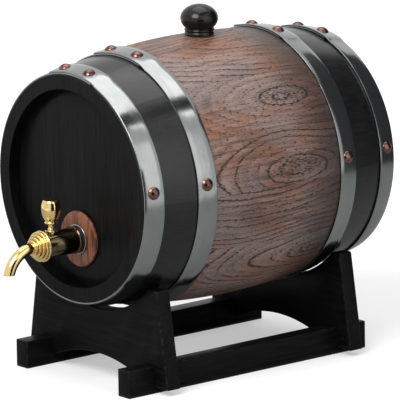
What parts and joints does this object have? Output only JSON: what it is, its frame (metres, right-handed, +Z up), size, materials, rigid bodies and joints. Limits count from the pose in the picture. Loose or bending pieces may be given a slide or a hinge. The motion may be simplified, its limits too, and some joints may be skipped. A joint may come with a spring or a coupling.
{
  "type": "small oak cask on a stand",
  "caption": "Small oak cask with riveted steel hoops, a brass tap and a bung knob, lying on a black wooden stand.",
  "frame": {"origin": "on the floor, under the middle of the whole object's outline", "axes": "+Z up, +Y along the cask from the tapped head to the plain head, +X to the right seen from the tapped head"},
  "size_m": [0.1924, 0.2968, 0.2624],
  "materials": {
    "stained_oak": "grey-brown stained oak, satin, black towards both ends",
    "black_wood": "satin black paint on wood",
    "plain_oak": "bare oak",
    "hoop_steel": "brushed steel strip",
    "copper": "polished copper",
    "polished_brass": "polished brass",
    "red_wood": "red-brown hardwood, oiled",
    "bright_steel": "bright steel",
    "black_rubber": "matt black rubber",
    "cork": "natural cork",
    "black_gloss_wood": "gloss black lacquer on turned wood"
  },
  "bodies": {
    "stand": {"front_cradle_board": "black_wood", "rear_cradle_board": "black_wood", "left_rail": "black_wood", "right_rail": "black_wood"},
    "cask": {"bung_stave": "stained_oak", "stave_02": "stained_oak", "stave_03": "stained_oak", "stave_04": "stained_oak", "stave_05": "stained_oak", "stave_06": "stained_oak", "stave_07": "stained_oak", "stave_08": "stained_oak", "stave_09": "stained_oak", "stave_10": "stained_oak", "stave_11": "stained_oak", "stave_12": "stained_oak", "stave_13": "stained_oak", "stave_14": "stained_oak", "front_head_left_board": "black_wood", "front_head_middle_board": "black_wood", "front_head_right_board": "black_wood", "rear_head_left_board": "black_wood", "rear_head_middle_board": "black_wood", "rear_head_right_board": "black_wood", "front_head_dowels": "plain_oak", "rear_head_dowels": "plain_oak", "front_head_hoop": "hoop_steel", "front_quarter_hoop": "hoop_steel", "rear_quarter_hoop": "hoop_steel", "rear_head_hoop": "hoop_steel", "front_head_hoop_rivets": "copper", "front_quarter_hoop_rivets": "copper", "rear_quarter_hoop_rivets": "copper", "rear_head_hoop_rivets": "copper", "tap_rosette": "red_wood", "tap_washer": "bright_steel", "tap_gasket": "black_rubber", "tap_backing_gasket": "black_rubber", "tap_body": "polished_brass", "tap_nose": "polished_brass", "tap_spout": "polished_brass", "tap_lock_nut": "polished_brass", "tap_gland": "polished_brass"},
    "bung": {"bung_cork": "cork", "bung_knob": "black_gloss_wood"},
    "tap_key": {"tap_key": "polished_brass", "tap_handle": "polished_brass"}
  },
  "joints": [
    {"name": "cask_lift", "type": "slide", "parent": "stand", "child": "cask", "axis": [0, 0, 1], "range_m": [0, 0.12]},
    {"name": "bung_pull", "type": "slide", "parent": "cask", "child": "bung", "axis": [0, 0, 1], "range_m": [0, 0.06]},
    {"name": "tap_turn", "type": "hinge", "parent": "cask", "child": "tap_key", "pos_m": [0, -0.10512, 0.1055], "axis": [0, 0, 1], "range_deg": [0, 90]}
  ]
}
